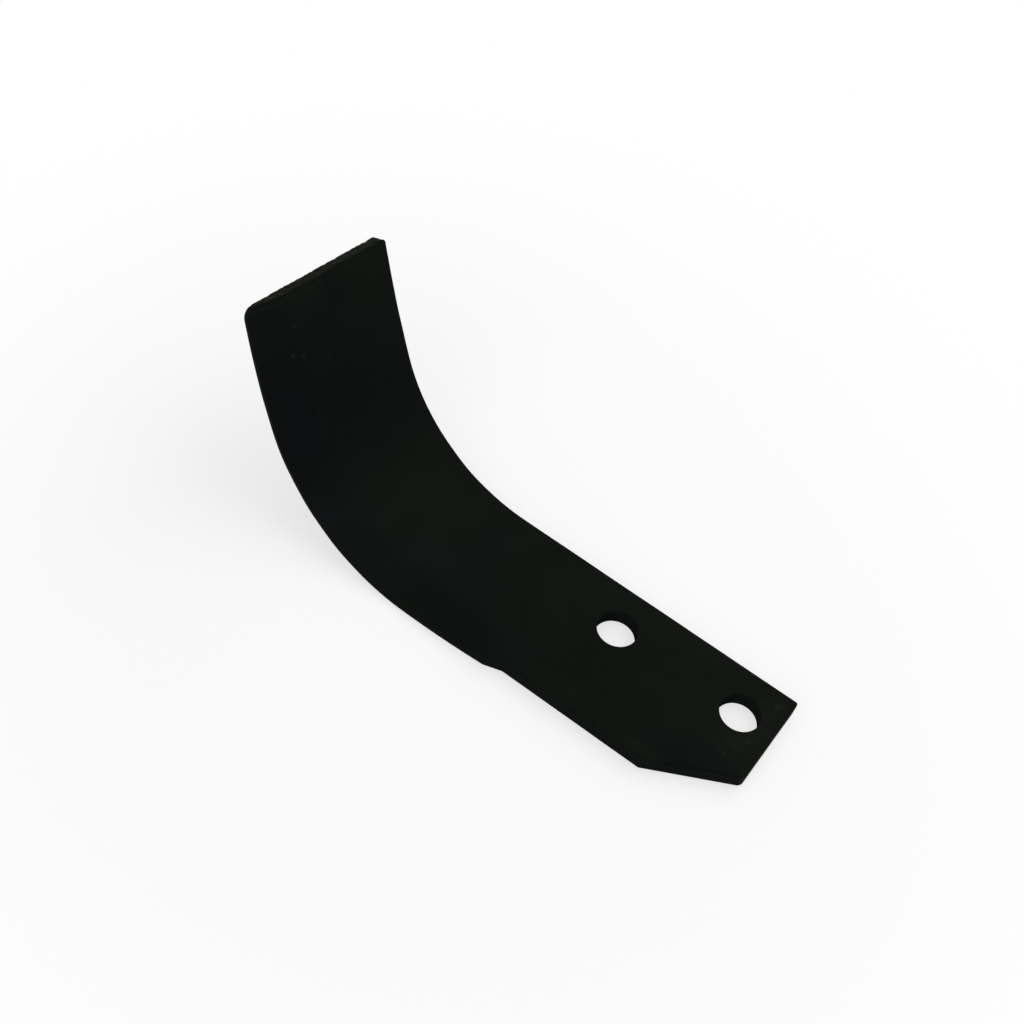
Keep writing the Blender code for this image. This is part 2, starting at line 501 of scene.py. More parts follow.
@dataclass
class Curl:
    """Bend that rolls the wing up over a cylinder that lies a little askew to the shank."""

    thickness: float
    radius: float = 77.0 * MM
    angle: float = math.radians(62.0)
    start: float = 90.0 * MM
    skew: float = math.radians(10.5)

    across: Vector = field(init=False)

    def __post_init__(self) -> None:
        """Work out the direction square to the bend."""
        self.across = Vector((-math.cos(self.skew), math.sin(self.skew), 0.0))

    def past_start(self, point: Vector) -> float:
        """How far a place lies past the start of the bend.

        Args:
            point: A place on the flat blank.

        Returns:
            The distance, negative on the shank.
        """
        return point.dot(self.across) - self.start

    def roll_up(self, point: Vector) -> Vector:
        """Place of a point once the blank is rolled up over the cylinder.

        Args:
            point: The point on the flat forging.

        Returns:
            Its place on the curled blade.
        """
        past = self.past_start(point)
        if past <= 0.0:
            return point.copy()
        middle = self.radius + self.thickness / 2
        angle = min(past / middle, self.angle)
        straight = max(past - middle * self.angle, 0.0)
        reach = self.radius + self.thickness - point.z
        forward = reach * math.sin(angle) + straight * math.cos(angle)
        height = self.radius + self.thickness - reach * math.cos(angle) + straight * math.sin(angle)
        rolled = point + self.across * (forward - past)
        rolled.z = height
        return rolled


@dataclass
class ForgeMarks:
    """What hammer and shear leave on the steel: wavy skin, wandering edges and a torn end face."""

    blank: FlatBlank
    curl: Curl
    skin_wave: float = 0.07 * MM
    skin_wave_length: float = 21.0 * MM
    edge_wander: float = 0.14 * MM
    edge_wander_length: float = 13.0 * MM
    loose_start: float = 0.05
    loose_end: float = 0.4
    shank_share: float = 0.25
    tear_depth: float = 0.32 * MM
    tear_least: float = 0.36
    tear_width: float = 2.2 * MM
    tear_length: float = 2.6 * MM
    tear_slice: float = 3.0 * MM
    tear_stretch: float = 0.5
    tear_fading: float = 0.6
    tear_refining: float = 2.1
    tear_octaves: int = 4
    seed: int = 4

    def __post_init__(self) -> None:
        """Make the wander of the edges the same in each run."""
        noise.seed_set(self.seed)

    def freedom(self, point: Vector) -> float:
        """How freely the metal moved under the hammer: 0 on the bolted shank, 1 on the wing.

        Args:
            point: A place on the flat forging.

        Returns:
            A number from 0 to 1.
        """
        past = self.curl.past_start(point) / self.curl.radius
        return ease(past, self.loose_start, self.loose_end)

    def lift(self, point: Vector, height: float) -> float:
        """Waviness of the skin.

        Args:
            point: A place on the flat forging.
            height: 0 on the seat, 1 on the upper face.

        Returns:
            How far the place is raised; the seat of the shank stays flat.
        """
        wave = noise.noise(point / self.skin_wave_length) * self.skin_wave
        return wave * (height + (1.0 - height) * self.freedom(point))

    def shift(self, point: Vector) -> Vector:
        """Wander of the edges and tear of the tip.

        Args:
            point: A place on the flat forging.

        Returns:
            How far the place moves in the plane of the blank.
        """
        wander = noise.noise_vector(point / self.edge_wander_length) * self.edge_wander
        wander.z = 0.0
        return wander * max(self.freedom(point), self.shank_share) + self.tear(point)

    def tear(self, point: Vector) -> Vector:
        """How the shear tore the tip's end face.

        Args:
            point: A place on the flat forging.

        Returns:
            The shift of that place, square to the end face.
        """
        near = 1.0 - ease(self.blank.tip_depth(point), 0.0, self.tear_length)
        if near <= 0.0:
            return Vector((0.0, 0.0, 0.0))
        along = point.dot(self.blank.tip_along)
        place = Vector((along, point.z * self.tear_stretch, self.tear_slice)) / self.tear_width
        swing = noise.fractal(place, self.tear_fading, self.tear_refining, self.tear_octaves)
        return self.blank.tip_inward * (near * self.tear_depth * max(0.5 + swing, self.tear_least))


@dataclass
class TillerBlade:
    """The finished blade, from flat blank to painted forging."""

    name: str = "forged_blade"
    node: str = "tiller_blade"
    body: str = "root"
    slot: str = "black_paint"
    cell: float = 1.0 * MM
    tip_cell_reach: float = 4.0 * MM
    rim_reach: float = 5.0 * MM
    rim_tilt: tuple[float, float] = (0.3, 0.95)
    wall_tilt: float = 0.3

    def build(self) -> bpy.types.Object:
        """Forge, curl and paint the blade.

        Returns:
            The finished piece, riding on its body.
        """
        blank = FlatBlank()
        edge = DrawnEdge(blank)
        curl = Curl(blank.thickness)
        marks = ForgeMarks(blank, curl)
        forging = blank.build()
        self.cut_cells(forging, curl)
        self.refine_tip(forging, blank)
        self.label(forging, blank)
        for vert in forging.verts:
            vert.co = curl.roll_up(self.hammer(vert.co, edge, marks))
        for face in forging.faces:
            face.smooth = True
        piece = add_object(self.name, forging)
        piece.data.materials.append(PaintFinish().material("black_paint_skin"))
        piece.data.materials.append(ShearedFinish().material("black_paint_sheared"))
        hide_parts(self.node)
        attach(piece, self.body)
        return piece

    def cut_cells(self, mesh: Mesh, curl: Curl) -> None:
        """Cut the blank into small cells along and across the bend, and through its thickness.

        Args:
            mesh: The punched blank, changed in place.
            curl: The bend that the cells follow.
        """
        for direction in (curl.across, UP.cross(curl.across), UP):
            reaches = [vert.co.dot(direction) for vert in mesh.verts]
            low, high = min(reaches), max(reaches)
            count = math.ceil((high - low) / self.cell)
            for i in range(1, count):
                place = direction * (low + (high - low) * i / count)
                geometry = mesh.verts[:] + mesh.edges[:] + mesh.faces[:]
                bmesh.ops.bisect_plane(mesh, geom=geometry, dist=1e-7, plane_co=place, plane_no=direction)

    def refine_tip(self, mesh: Mesh, blank: FlatBlank) -> None:
        """Halve the cells at the tip, where the shear's tear is finer than a cell.

        Args:
            mesh: The blank in cells, changed in place.
            blank: The blank's sizes.
        """
        near = [edge for edge in mesh.edges
                if all(blank.tip_depth(vert.co) < self.tip_cell_reach for vert in edge.verts)]
        bmesh.ops.subdivide_edges(mesh, edges=near, cuts=1, use_grid_fill=True)
        bmesh.ops.triangulate(mesh, faces=[face for face in mesh.faces if len(face.verts) > 4])

    def label(self, mesh: Mesh, blank: FlatBlank) -> None:
        """Note on the mesh what the paint needs: kind of surface, rims, the walls that get painted shade, the
        hole walls that get painted light, and the place on the blank.

        Args:
            mesh: The blank in cells, changed in place.
            blank: The blank's sizes.
        """
        mesh.normal_update()
        tree = self.rims(mesh)
        rim = mesh.verts.layers.float.new("rim")
        wall = mesh.verts.layers.float.new("wall")
        hole = mesh.verts.layers.float.new("hole")
        depth = mesh.verts.layers.float.new("tip_depth")
        flat = mesh.verts.layers.float_vector.new("flat_place")
        for face in mesh.faces:
            face.material_index = (Surface.SHEARED if blank.is_sheared(face) else Surface.SKIN).value
        for vert in mesh.verts:
            vert[rim] = 1.0 - ease(tree.find(vert.co)[2], 0.0, self.rim_reach)
            upright = 1.0 - ease(abs(vert.normal.z), 0.0, self.wall_tilt)
            # Upright faces: the bolt holes' walls get painted light, the other walls painted shade.
            vert[hole if blank.in_hole(vert.co) else wall] = upright
            vert[depth] = blank.tip_depth(vert.co)
            vert[flat] = vert.co

    def rims(self, mesh: Mesh) -> KDTree:
        """Places where the blank turns sharply.

        Args:
            mesh: The blank in cells.

        Returns:
            A search tree of those places.
        """
        low, high = self.rim_tilt
        turning = [vert for vert in mesh.verts
                   if any(low < abs(face.normal.z) < high for face in vert.link_faces)]
        tree = KDTree(len(turning))
        for i, vert in enumerate(turning):
            tree.insert(vert.co, i)
        tree.balance()
        return tree

    @staticmethod
    def hammer(point: Vector, edge: DrawnEdge, marks: ForgeMarks) -> Vector:
        """Place of a point of the blank once it is drawn out, still flat.

        Args:
            point: The point of the blank.
            edge: The wedge and its facet.
            marks: What the hammer and the shear leave.

        Returns:
            Its place on the flat forging.
        """
        height = point.z / marks.blank.thickness
        moved = point + marks.shift(point)
        moved.z = edge.thickness_at(point) * height + marks.lift(point, height)
        return moved


class NodeSheet:
    """Short way to add and join shader nodes in one tree."""

    def __init__(self, tree: bpy.types.NodeTree) -> None:
        """Take a node tree to work on.

        Args:
            tree: The tree of a material, a world or a group.
        """
        self.tree = tree

    def add(self, kind: str, inputs: dict | None = None, **settings: object) -> bpy.types.Node:
        """Add a node.

        Args:
            kind: The node's type.
            inputs: Values or sockets for its inputs, by name or number.
            settings: Values of the node's own settings.

        Returns:
            The new node.
        """
        node = self.tree.nodes.new(kind)
        for key, value in settings.items():
            setattr(node, key, value)
        for key, value in (inputs or {}).items():
            self.feed(node.inputs[key], value)
        return node

    def feed(self, inlet: Socket, value: object) -> None:
        """Set a node's input, or join it.

        Args:
            inlet: The input.
            value: Its value, or the socket to join to it.
        """
        if isinstance(value, Socket):
            self.tree.links.new(value, inlet)
        else:
            inlet.default_value = value

    def attribute(self, name: str, output: str) -> Socket:
        """Read a value that the mesh carries.

        Args:
            name: The attribute's name.
            output: Which output of the node to use.

        Returns:
            The value's socket.
        """
        return self.add("ShaderNodeAttribute", attribute_name=name).outputs[output]

    def math(self, operation: str, first: object, second: object = 0.0) -> Socket:
        """Add a Math node.

        Args:
            operation: What it does.
            first: Number or socket.
            second: Number or socket.

        Returns:
            The result's socket.
        """
        return self.add("ShaderNodeMath", {0: first, 1: second}, operation=operation).outputs[0]

    def noise(self, vector: Socket, scale: object, detail: float, roughness: float = 0.5,
              output: str = "Fac") -> Socket:
        """Add a noise texture.

        Args:
            vector: Where the noise is read.
            scale: Number or socket for its scale.
            detail: How many finer layers it has.
            roughness: How strong the finer layers are.
            output: Which output to use: Fac for one number, Color for three.

        Returns:
            The output's socket; its values lie about 0.5.
        """
        inputs = {"Vector": vector, "Scale": scale, "Detail": detail, "Roughness": roughness}
        return self.add("ShaderNodeTexNoise", inputs).outputs[output]

    def vector(self, operation: str, first: object, second: object = (0.0, 0.0, 0.0)) -> Socket:
        """Add a Vector Math node.

        Args:
            operation: What it does.
            first: Vector or socket.
            second: Vector or socket.

        Returns:
            The result's socket, which is a number for a length.
        """
        node = self.add("ShaderNodeVectorMath", {0: first, 1: second}, operation=operation)
        return node.outputs["Value" if operation == "LENGTH" else "Vector"]

    def ramp(self, value: Socket, low: object, high: object, start: float = 0.0, end: float = 1.0) -> Socket:
        """Add a smooth ramp.

        Args:
            value: What the ramp reads.
            low: Number or socket for where the ramp starts.
            high: Number or socket for where the ramp ends.
            start: What it gives at and below low.
            end: What it gives at and above high.

        Returns:
            The ramp's socket.
        """
        inputs = {"Value": value, "From Min": low, "From Max": high, "To Min": start, "To Max": end}
        node = self.add("ShaderNodeMapRange", inputs, interpolation_type="SMOOTHSTEP")
        return node.outputs["Result"]

    def blend(self, share: Socket, first: object, second: object, mode: str = "MIX") -> Socket:
        """Add a blend of two colours.

        Args:
            share: How much of the second colour shows.
            first: Colour or socket.
            second: Colour or socket.
            mode: How the second colour acts on the first.

        Returns:
            The blended colour's socket.
        """
        node = self.add("ShaderNodeMix", data_type="RGBA", blend_type=mode)
        ends = (("Factor_Float", share), ("A_Color", first), ("B_Color", second))
        sockets = {socket.identifier: socket for socket in node.inputs}
        for key, value in ends:
            self.feed(sockets[key], value if isinstance(value, Socket) else (*value, 1.0))
        return next(socket for socket in node.outputs if socket.identifier == "Result_Color")


class EffectGroup(NodeSheet):
    """Shader node group with named inputs and one output, built once and placed where it is needed."""

    def __init__(self, name: str, inputs: dict[str, float | None], output: str) -> None:
        """Open a new group.

        Args:
            name: Name of the group.
            inputs: Default of each float input by name, or None for a vector input.
            output: Name of the single float output.
        """
        super().__init__(bpy.data.node_groups.new(name, "ShaderNodeTree"))
        for key, value in inputs.items():
            kind = "NodeSocketVector" if value is None else "NodeSocketFloat"
            socket = self.tree.interface.new_socket(key, in_out="INPUT", socket_type=kind)
            if value is not None:
                socket.default_value = value
        self.tree.interface.new_socket(output, in_out="OUTPUT", socket_type="NodeSocketFloat")
        self.inlet = self.add("NodeGroupInput").outputs
        self.outlet = self.add("NodeGroupOutput").inputs[0]

    def give(self, value: Socket) -> None:
        """Join a socket to the group's output.

        Args:
            value: The socket that holds the result.
        """
        self.feed(self.outlet, value)

    def place(self, sheet: NodeSheet, inputs: dict[str, object]) -> Socket:
        """Put the group in a material.

        Args:
            sheet: The material's nodes.
            inputs: Values or sockets for the group's inputs.

        Returns:
            The group's output.
        """
        return sheet.add("ShaderNodeGroup", inputs, node_tree=self.tree).outputs[0]


def blotch_group() -> EffectGroup:
    """Cloudy patches, such as uneven paint has.

    Returns:
        A group that puts out a mask from 0 to 1.
    """
    group = EffectGroup("blotches", {"Vector": None, "Scale": 60.0, "Low": 0.4, "High": 0.65}, "Mask")
    inlet = group.inlet
    cloud = group.noise(inlet["Vector"], inlet["Scale"], 3.0)
    group.give(group.ramp(cloud, inlet["Low"], inlet["High"]))
    return group


def scale_group() -> EffectGroup:
    """Relief of painted forging scale: fine grain, shallow dimples and sparse pits.

    Returns:
        A group that puts out a height from 0 to about 1.
    """
    pit_scale, pit_edge, pit_foot, pit_depth = 320.0, 0.10, 0.26, 0.5
    sparse_low, sparse_high = 0.50, 0.62
    grain_share, dimple_share = 0.35, 0.65
    group = EffectGroup("forge_scale", {"Vector": None, "Grain": 900.0, "Dimple": 260.0}, "Height")
    inlet = group.inlet
    grain = group.noise(inlet["Vector"], inlet["Grain"], 3.0, 0.6)
    dimple = group.noise(inlet["Vector"], inlet["Dimple"], 2.0)
    pit = group.add("ShaderNodeTexVoronoi", {"Vector": inlet["Vector"], "Scale": pit_scale})
    hollow = group.math("SUBTRACT", group.ramp(pit.outputs["Distance"], pit_edge, pit_foot), 1.0)
    sparse = group.ramp(dimple, sparse_low, sparse_high)
    pits = group.math("MULTIPLY", group.math("MULTIPLY", hollow, pit_depth), sparse)
    fine = group.math("MULTIPLY", grain, grain_share)
    wide = group.math("MULTIPLY", dimple, dimple_share)
    group.give(group.math("ADD", group.math("ADD", fine, wide), pits))
    return group


def rub_group() -> EffectGroup:
    """Paint rubbed thin along rims.

    Returns:
        A group that puts out a mask from 0 to 1.
    """
    chip_scale = 420.0
    group = EffectGroup("rubbed_rims", {"Vector": None, "Rim": 0.0, "Start": 0.9, "End": 1.25}, "Mask")
    inlet = group.inlet
    chips = group.noise(inlet["Vector"], chip_scale, 4.0, 0.6)
    total = group.math("ADD", inlet["Rim"], chips)
    group.give(group.ramp(total, inlet["Start"], inlet["End"]))
    return group


def spot_group() -> EffectGroup:
    """One spot in the paint, with a ragged border.

    Returns:
        A group that puts out a mask from 0 to 1.
    """
    group = EffectGroup("paint_spot", {"Vector": None, "Centre": None, "Size": None, "Swing": None,
                                       "Scale": 700.0, "Softness": 0.4}, "Mask")
    inlet = group.inlet
    ragged = group.noise(inlet["Vector"], inlet["Scale"], 4.0, 0.6, "Color")
    swing = group.vector("MULTIPLY", group.vector("SUBTRACT", ragged, (0.5, 0.5, 0.5)), inlet["Swing"])
    offset = group.vector("SUBTRACT", group.vector("ADD", inlet["Vector"], swing), inlet["Centre"])
    reach = group.vector("LENGTH", group.vector("DIVIDE", offset, inlet["Size"]))
    low = group.math("SUBTRACT", 1.0, inlet["Softness"])
    high = group.math("ADD", 1.0, inlet["Softness"])
    group.give(group.ramp(reach, low, high, 1.0, 0.0))
    return group


BLOTCHES = blotch_group()
FORGE_SCALE = scale_group()
RUBBED_RIMS = rub_group()
PAINT_SPOT = spot_group()


@dataclass(frozen=True)
class Spot:
    """Ragged spot in the paint, placed on the flat blank, in millimetres: a small knock by default."""

    x: float
    y: float
    length: float
    width: float
    z: float = FlatBlank.thickness / MM
    depth: float = 3.0
    grain: float = 700.0
    swing: float = 3.0
    softness: float = 0.4

    def mask(self, sheet: NodeSheet, flat: Socket) -> Socket:
        """Place the spot in a material.

        Args:
            sheet: The material's nodes.
            flat: Place on the flat blank.

        Returns:
            A socket from 0 to 1.
        """
        centre = Vector((self.x, self.y, self.z)) * MM
        size = Vector((self.length, self.width, self.depth)) * MM
        swing = Vector((1.0, 1.0, 1.0)) * (self.swing * MM)
        return PAINT_SPOT.place(sheet, {"Vector": flat, "Centre": centre, "Size": size, "Swing": swing,
                                        "Scale": self.grain, "Softness": self.softness})


class Tint(Enum):
    """How a tint patch changes the paint's colour: factors for red, green and blue; SHADE and COLD_SHADE are
    painted shade, BEND_HIGHLIGHT a painted highlight.
    """

    BLUE = (1.01, 0.99, 1.16)
    TEAL = (1.11, 1.08, 1.26)
    COOL = (1.00, 0.98, 1.08)
    COLD_SHADE = (0.91, 0.87, 0.99)
    SHADE = (0.89, 0.91, 0.90)
    # Painted highlight on the bend.
    BEND_HIGHLIGHT = (1.11, 1.10, 1.08)
    WARM = (1.06, 1.02, 1.01)
    GREEN = (1.15, 1.21, 1.03)
    OLIVE = (1.19, 1.18, 0.98)


@dataclass(frozen=True)
class TintPatch(Spot):
    """Broad cloudy patch of another tint, through the whole thickness; the SHADE and COLD_SHADE patches are
    painted shade and the BEND_HIGHLIGHT patch a painted highlight.
    """

    z: float = FlatBlank.thickness / MM / 2
    depth: float = 60.0
    grain: float = 95.0
    swing: float = 34.0
    softness: float = 0.45


NICKS_AND_HIGHLIGHTS = (
    Spot(-218.2, -12.2, 0.7, 1.0),
    Spot(-208.0, -18.0, 0.8, 0.8),
    Spot(-205.5, -14.5, 0.9, 0.7),
    Spot(-198.8, -4.5, 0.6, 0.6),
    Spot(-139.5, -23.2, 0.6, 0.5),
    Spot(5.5, -37.5, 1.0, 0.4),
    Spot(32.5, -20.0, 0.7, 0.8),
    Spot(34.2, -13.2, 0.9, 0.8),
    Spot(37.4, -8.8, 1.8, 0.7),
    Spot(38.4, 11.8, 1.2, 1.7),
    # Painted highlights, not knocks: light spots on the upper walls of the two bolt holes.
    Spot(-35.3, 4.7, 2.6, 2.2, 3.0),
    Spot(22.2, 5.2, 2.0, 1.8, 3.4),
)


TINT_PATCHES = {
    Tint.GREEN: (
        TintPatch(-230.0, 6.0, 3.5, 26.0), TintPatch(-206.0, 26.0, 26.0, 13.0),
    ),
    Tint.TEAL: (
        TintPatch(-225.0, -20.0, 8.0, 11.0), TintPatch(-149.0, -33.0, 11.0, 9.0),
        TintPatch(-131.0, -40.0, 19.0, 12.0),
    ),
    Tint.BLUE: (
        TintPatch(-181.0, -28.0, 18.0, 10.0), TintPatch(-107.0, -35.0, 14.0, 7.0),
        TintPatch(-62.0, -37.0, 12.0, 9.0),
    ),
    Tint.COOL: (
        TintPatch(-170.0, -9.0, 13.0, 6.0), TintPatch(-96.0, -19.0, 22.0, 11.0), TintPatch(-87.0, 1.0, 8.0, 4.0),
    ),
    # Painted shade: darker, colder patches, two of them over the clip's side wall.
    Tint.COLD_SHADE: (
        TintPatch(-83.0, -37.0, 18.0, 11.0), TintPatch(29.0, -31.0, 18.0, 9.0), TintPatch(27.0, -34.0, 11.0, 4.0),
    ),
    Tint.BEND_HIGHLIGHT: (
        # Painted highlight on the bend.
        TintPatch(-120.0, 0.0, 18.0, 13.0),
    ),
    Tint.WARM: (
        TintPatch(-126.0, -11.0, 13.0, 9.0), TintPatch(0.0, 12.0, 24.0, 6.0),
    ),
    # Painted shade: darker patches over the shank.
    Tint.SHADE: (
        TintPatch(-70.0, -9.0, 16.0, 11.0), TintPatch(-39.0, -21.0, 22.0, 15.0), TintPatch(6.0, -26.0, 28.0, 14.0),
    ),
    Tint.OLIVE: (
        TintPatch(38.0, -9.0, 7.0, 9.0), TintPatch(39.0, 12.0, 8.0, 8.0),
    ),
}


@dataclass(frozen=True)
class PaintFinish:
    """Thin satin black paint over forged steel."""

    colour: Colour = (0.0048, 0.0062, 0.0047)
    pale: Colour = (0.0055, 0.0070, 0.0054)
    # Painted shade: the curled wing is painted darker and cooler, easing back to half near the tip.
    wing_shade: Colour = (0.0041, 0.0051, 0.0050)
    # Worn paint, and the painted highlights that share its colour.
    worn_and_highlight: Colour = (0.0088, 0.0108, 0.0084)
    # Painted shade: the upright walls are painted darker.
    wall: Colour = (0.0036, 0.0048, 0.0038)
    # Painted light: the bolt holes' walls lose their reflection and get this lighter paint in its place.
    bore_painted_light: Colour = (0.0092, 0.0118, 0.0112)
    wing_shade_start: float = 135.0 * MM
    wing_shade_end: float = 170.0 * MM
    wing_shade_share: float = 0.85
    wing_shade_fade_start: float = 190.0 * MM
    wing_shade_fade_end: float = 225.0 * MM
    wing_shade_fade_share: float = 0.5
    specular: float = 0.01
    roughness: float = 0.48
    roughness_spread: float = 0.08
    blotch_scale: float = 45.0
    blotch_low: float = 0.40
    blotch_high: float = 0.70
    relief: float = 0.10
    grain: float = 1100.0
    dimple: float = 300.0
    rub_start: float = 1.50
    rub_end: float = 1.95
    # Painted highlight: a light line where the shear's burr would catch the light behind the tip.
    burr_highlight_depth: float = 4.0 * MM
    burr_highlight_width: float = 0.9 * MM
    burr_highlight_swing: float = 3.4 * MM
    burr_highlight_scale: float = 170.0
    burr_highlight_share: float = 0.8

    def material(self, name: str) -> bpy.types.Material:
        """Make the material.

        Args:
            name: The material's name.

        Returns:
            The new material.
        """
        material = bpy.data.materials.new(name)
        material.use_nodes = True
        sheet = NodeSheet(material.node_tree)
        shader = material.node_tree.nodes["Principled BSDF"]
        flat = sheet.attribute("flat_place", "Vector")
        patches = BLOTCHES.place(sheet, {"Vector": flat, "Scale": self.blotch_scale,
                                         "Low": self.blotch_low, "High": self.blotch_high})
        rough = sheet.ramp(patches, 0.0, 1.0, self.roughness + self.roughness_spread / 2,
                           self.roughness - self.roughness_spread / 2)
        open_air = sheet.math("SUBTRACT", 1.0, sheet.attribute("hole", "Fac"))
        feeds = {"Base Color": self.tone(sheet, flat, patches),
                 "Roughness": rough,
                 "Normal": self.surface(sheet, flat),
                 "Specular IOR Level": sheet.math("MULTIPLY", open_air, self.specular)}
        for key, value in feeds.items():
            sheet.feed(shader.inputs[key], value)
        return material

    def tone(self, sheet: NodeSheet, flat: Socket, patches: Socket) -> Socket:
        """Colour of the paint: painted shade on the wing and the walls, painted light in the bolt holes,
        tinted patches, wear and painted highlights.

        Args:
            sheet: The material's nodes.
            flat: Place on the flat blank.
            patches: Mask of the cloudy patches.

        Returns:
            The colour's socket.
        """
        along = sheet.add("ShaderNodeSeparateXYZ", {"Vector": flat}).outputs["X"]
        out = sheet.math("MULTIPLY", along, -1.0)
        # Painted shade on the curled wing, easing off toward the tip.
        wing = sheet.math("MULTIPLY", sheet.ramp(out, self.wing_shade_start, self.wing_shade_end, 0.0, self.wing_shade_share),
                          sheet.ramp(out, self.wing_shade_fade_start, self.wing_shade_fade_end, 1.0, self.wing_shade_fade_share))
        patched = sheet.blend(patches, self.colour, self.pale)
        wing_shaded = sheet.blend(wing, patched, self.wing_shade)
        # Painted shade on the upright walls.
        walled = sheet.blend(sheet.attribute("wall", "Fac"), wing_shaded, self.wall)
        # Painted light on the bolt holes' walls.
        tinted = sheet.blend(sheet.attribute("hole", "Fac"), walled, self.bore_painted_light)
        # Tinted patches, among them painted shade and a painted highlight.
        for tint, tint_patches in TINT_PATCHES.items():
            for tint_patch in tint_patches:
                tinted = sheet.blend(tint_patch.mask(sheet, flat), tinted, tint.value, "MULTIPLY")
        return sheet.blend(self.wear_and_highlights(sheet, flat, patches), tinted, self.worn_and_highlight)

    def wear_and_highlights(self, sheet: NodeSheet, flat: Socket, patches: Socket) -> Socket:
        """Mask of the rubbed rims and nicks, with the painted highlights of the burr behind the sheared tip
        and of the bolt holes' walls.

        Args:
            sheet: The material's nodes.
            flat: Place on the flat blank.
            patches: Mask of the cloudy patches.

        Returns:
            A socket from 0 to 1.
        """
        mask = RUBBED_RIMS.place(sheet, {"Vector": flat, "Rim": sheet.attribute("rim", "Fac"),
                                         "Start": self.rub_start, "End": self.rub_end})
        # Painted highlight along the burr behind the sheared tip.
        swing = sheet.math("MULTIPLY", sheet.noise(flat, self.burr_highlight_scale, 2.0), self.burr_highlight_swing)
        depth = sheet.math("ADD", sheet.attribute("tip_depth", "Fac"), swing)
        off = sheet.math("ABSOLUTE", sheet.math("SUBTRACT", depth, self.burr_highlight_depth))
        burr_highlight = sheet.ramp(off, 0.0, self.burr_highlight_width, self.burr_highlight_share, 0.0)
        mask = sheet.math("MAXIMUM", mask, sheet.math("MULTIPLY", burr_highlight, patches))
        # Knocks in the paint, and painted highlights on the bolt holes' walls.
        for nick_and_highlight in NICKS_AND_HIGHLIGHTS:
            mask = sheet.math("MAXIMUM", mask, nick_and_highlight.mask(sheet, flat))
        return mask

    def surface(self, sheet: NodeSheet, flat: Socket) -> Socket:
        """Relief of the surface.

        Args:
            sheet: The material's nodes.
            flat: Place on the flat blank.

        Returns:
            The normal's socket.
        """
        height = FORGE_SCALE.place(sheet, {"Vector": flat, "Grain": self.grain, "Dimple": self.dimple})
        bump = sheet.add("ShaderNodeBump", {"Height": height, "Strength": self.relief, "Distance": MM})
        return bump.outputs["Normal"]


@dataclass(frozen=True)
class ShearedFinish(PaintFinish):
    """Paint that barely hides the brown, torn steel of the sheared tip."""

    outer: Colour = (0.0074, 0.0084, 0.0040)
    hollow: Colour = (0.0038, 0.0049, 0.0029)
    relief: float = 0.32
    grain: float = 700.0
    dimple: float = 420.0
    streak_scale: float = 420.0
    streak_swing: float = 10.0 * MM

    def tone(self, sheet: NodeSheet, flat: Socket, patches: Socket) -> Socket:
        """Colour of the torn end: olive-brown, darker toward the hollow face.

        Args:
            sheet: The material's nodes.
            flat: Place on the flat blank.
            patches: Mask of the cloudy patches; not used here.

        Returns:
            The colour's socket.
        """
        height = sheet.add("ShaderNodeSeparateXYZ", {"Vector": flat}).outputs["Z"]
        streaks = sheet.math("SUBTRACT", sheet.noise(flat, self.streak_scale, 3.0), 0.5)
        offset = sheet.math("MULTIPLY", streaks, self.streak_swing)
        share = sheet.ramp(sheet.math("ADD", height, offset), 0.0, FlatBlank.thickness)
        return sheet.blend(share, self.outer, self.hollow)


@dataclass(frozen=True)
class Gear:
    """Lamp or camera that faces a place; angles in degrees, the azimuth counter-clockwise from +X."""

    name: str
    azimuth: float
    elevation: float
    distance: float = 1.1
    roll: float = 0.0

    def hang(self, data: bpy.types.ID, middle: Vector) -> bpy.types.Object:
        """Put the gear in the scene.

        Args:
            data: The lamp or the camera.
            middle: The place that it faces.

        Returns:
            The new object.
        """
        azimuth = math.radians(self.azimuth)
        elevation = math.radians(self.elevation)
        level = math.cos(elevation)
        outward = Vector((math.cos(azimuth) * level, math.sin(azimuth) * level, math.sin(elevation)))
        facing = (-outward).to_track_quat("-Z", "Y")
        item = bpy.data.objects.new(self.name, data)
        item.location = middle + outward * self.distance
        item.rotation_mode = "QUATERNION"
        item.rotation_quaternion = facing @ Quaternion(UP, math.radians(self.roll))
        bpy.context.scene.collection.objects.link(item)
        return item


@dataclass(frozen=True)
class Softbox(Gear):
    """Square softbox on a stand."""

    power: float = 3.2
    size: float = 0.8

    def light(self, middle: Vector) -> None:
        """Light the scene.

        Args:
            middle: The place that the softbox faces.
        """
        lamp = bpy.data.lights.new(self.name, "AREA")
        lamp.shape = "SQUARE"
        lamp.size = self.size
        lamp.energy = self.power
        self.hang(lamp, middle)


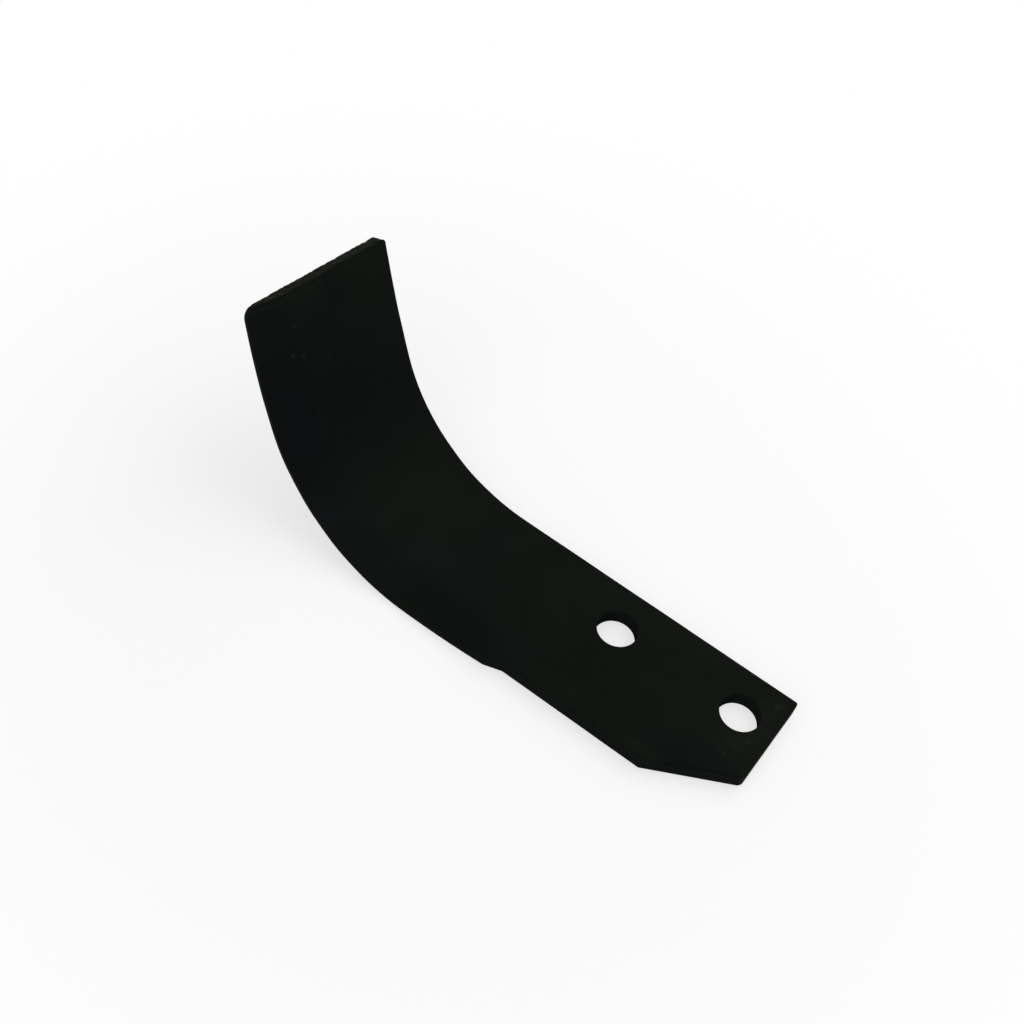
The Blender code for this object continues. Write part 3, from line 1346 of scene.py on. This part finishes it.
@dataclass
class Studio:
    """Pale floor, white surroundings and soft lamps."""

    floor_size: float = 6.0
    floor_drop: float = 0.2 * MM
    floor_tone: float = 0.95
    fade_start: float = 0.13
    fade_end: float = 0.32
    fade_near: float = 0.65
    sky: float = 0.45
    middle: Vector = field(default_factory=lambda: Vector((-0.08, -0.01, 0.03)))
    lamps: tuple[Softbox, ...] = (
        Softbox("back_softbox", 90.0, 38.0),
        Softbox("top_softbox", 45.0, 66.0),
        Softbox("front_softbox", 270.0, 38.0, power=2.8),
        Softbox("low_softbox", 45.0, 12.0, power=0.9),
    )

    def build(self) -> None:
        """Set up the floor, the world and the lamps."""
        self.floor()
        self.world()
        for lamp in self.lamps:
            lamp.light(self.middle)
        bpy.context.scene.view_settings.view_transform = "Standard"

    def floor(self) -> None:
        """Lay the floor just under the seat, white far away and shaded near the blade."""
        mesh = bmesh.new()
        bmesh.ops.create_grid(mesh, x_segments=1, y_segments=1, size=self.floor_size / 2)
        bmesh.ops.translate(mesh, verts=mesh.verts, vec=(self.middle.x, self.middle.y, -self.floor_drop))
        floor = add_object("floor", mesh)
        floor.data.materials.append(self.floor_material())

    def floor_material(self) -> bpy.types.Material:
        """Matt white that keeps the blade's shadow and fades to plain white away from it.

        Returns:
            The floor's material.
        """
        material = bpy.data.materials.new("pale_floor")
        material.use_nodes = True
        sheet = NodeSheet(material.node_tree)
        material.node_tree.nodes.clear()
        tone = (self.floor_tone, self.floor_tone, self.floor_tone, 1.0)
        matt = sheet.add("ShaderNodeBsdfDiffuse", {"Color": tone})
        white = sheet.add("ShaderNodeEmission", {"Strength": 1.0})
        place = sheet.add("ShaderNodeTexCoord").outputs["Object"]
        reach = sheet.vector("LENGTH", sheet.vector("SUBTRACT", place, self.middle))
        far = sheet.ramp(reach, self.fade_start, self.fade_end, self.fade_near, 1.0)
        seen = sheet.math("MULTIPLY", far, self.seen_rays(sheet))
        mixed = sheet.add("ShaderNodeMixShader", {0: seen, 1: matt.outputs[0], 2: white.outputs[0]})
        sheet.add("ShaderNodeOutputMaterial", {"Surface": mixed.outputs[0]})
        return material

    @staticmethod
    def seen_rays(sheet: NodeSheet) -> Socket:
        """Mask of the rays that show the background: camera, glossy and transmission rays.

        Args:
            sheet: The nodes to add to.

        Returns:
            A socket that is 1 for such a ray.
        """
        path = sheet.add("ShaderNodeLightPath").outputs
        shown = sheet.math("MAXIMUM", path["Is Camera Ray"], path["Is Glossy Ray"])
        return sheet.math("MAXIMUM", shown, path["Is Transmission Ray"])

    def world(self) -> None:
        """Even white surroundings: full white where they are seen, softer where they light."""
        world = bpy.data.worlds.new("studio")
        world.use_nodes = True
        sheet = NodeSheet(world.node_tree)
        world.node_tree.nodes.clear()
        strength = sheet.ramp(self.seen_rays(sheet), 0.0, 1.0, self.sky, 1.0)
        back = sheet.add("ShaderNodeBackground", {"Color": (1.0, 1.0, 1.0, 1.0), "Strength": strength})
        sheet.add("ShaderNodeOutputWorld", {"Surface": back.outputs[0]})
        bpy.context.scene.world = world


@dataclass(frozen=True)
class PhotoCamera(Gear):
    """Camera at the photograph's viewing angle: it looks down on the blade, a little rolled."""

    name: str = "photo_camera"
    azimuth: float = -65.2
    elevation: float = 51.0
    distance: float = 562.4 * MM
    roll: float = 14.145
    aim: Vector = field(default_factory=lambda: Vector((-80.0 * MM, -10.0 * MM, 45.9 * MM)))
    lens: float = 52.75
    sensor: float = 36.0
    shift: tuple[float, float] = (-0.0003, -0.0003)

    def build(self) -> None:
        """Set the camera up and look through it."""
        camera = bpy.data.cameras.new(self.name)
        camera.lens = self.lens
        camera.sensor_width = self.sensor
        camera.shift_x, camera.shift_y = self.shift
        bpy.context.scene.camera = self.hang(camera, self.aim)


def main() -> None:
    """Build the studio, the camera and the blade, and report each piece."""
    logging.basicConfig(level=logging.INFO, format="%(message)s")
    Studio().build()
    PhotoCamera().build()
    piece = TillerBlade().build()
    piece.data.calc_loop_triangles()
    LOG.info("%s: %d triangles", piece.name, len(piece.data.loop_triangles))


if __name__ == "__main__":
    main()
